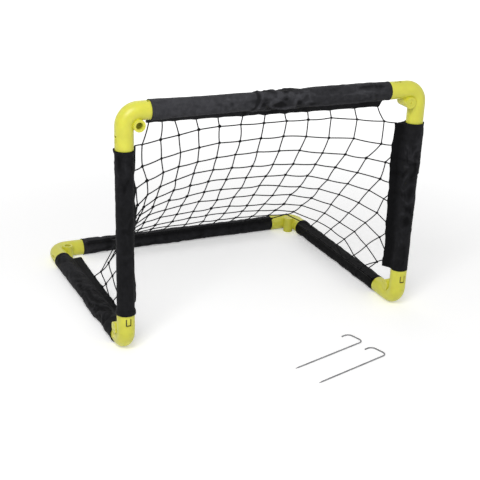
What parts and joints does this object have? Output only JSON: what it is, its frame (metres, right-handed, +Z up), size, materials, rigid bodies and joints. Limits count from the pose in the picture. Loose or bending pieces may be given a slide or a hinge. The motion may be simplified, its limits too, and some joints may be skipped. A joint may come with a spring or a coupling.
{
  "type": "folding goal",
  "caption": "Portable folding goal: tubular frame in fabric sleeves with moulded hinged elbows, a knotted net sloping to the back, and loose wire ground pegs.",
  "frame": {"origin": "on the ground, under the middle of the whole object, pegs included", "axes": "+X to the right along the crossbar, +Y back from the goal mouth, +Z up"},
  "size_m": [0.9112, 1.081, 0.6901],
  "materials": {
    "elbow_plastic": "satin lime yellow moulding",
    "sleeve_fabric": "black woven polyester",
    "net_cord": "black knotted cord",
    "frame_steel": "black powder coat",
    "bolt_steel": "zinc plated",
    "peg_wire": "dull grey zinc plated wire"
  },
  "bodies": {
    "base": {"left_side_tube": "frame_steel", "right_side_tube": "frame_steel", "rear_tube": "frame_steel", "rear_left_elbow": "elbow_plastic", "rear_right_elbow": "elbow_plastic", "front_left_lower_half": "elbow_plastic", "front_right_lower_half": "elbow_plastic", "rear_left_nut": "elbow_plastic", "rear_right_nut": "elbow_plastic", "front_left_nut": "elbow_plastic", "front_right_nut": "elbow_plastic", "rear_left_bolt": "bolt_steel", "rear_right_bolt": "bolt_steel", "front_left_bolt": "bolt_steel", "front_right_bolt": "bolt_steel", "left_side_sleeve": "sleeve_fabric", "right_side_sleeve": "sleeve_fabric", "rear_sleeve": "sleeve_fabric", "net": "net_cord"},
    "front_frame": {"crossbar_tube": "frame_steel", "left_post_tube": "frame_steel", "right_post_tube": "frame_steel", "top_left_elbow": "elbow_plastic", "top_right_elbow": "elbow_plastic", "front_left_upper_half": "elbow_plastic", "front_right_upper_half": "elbow_plastic", "top_left_bolt": "bolt_steel", "top_right_bolt": "bolt_steel", "top_left_nut": "elbow_plastic", "top_right_nut": "elbow_plastic", "crossbar_sleeve": "sleeve_fabric", "left_post_sleeve": "sleeve_fabric", "right_post_sleeve": "sleeve_fabric"},
    "ground_peg_1": {"ground_peg_1": "peg_wire"},
    "ground_peg_2": {"ground_peg_2": "peg_wire"}
  },
  "joints": [
    {"name": "front_fold", "type": "hinge", "parent": "base", "child": "front_frame", "pos_m": [0, -0.15101, 0.0575], "axis": [-1, 0, 0], "range_deg": [0, 90], "deforming": ["net"]},
    {"name": "peg_1_lift", "type": "slide", "parent": "base", "child": "ground_peg_1", "axis": [0, 0, 1], "range_m": [0, 0.12]},
    {"name": "peg_2_lift", "type": "slide", "parent": "base", "child": "ground_peg_2", "axis": [0, 0, 1], "range_m": [0, 0.12]}
  ]
}
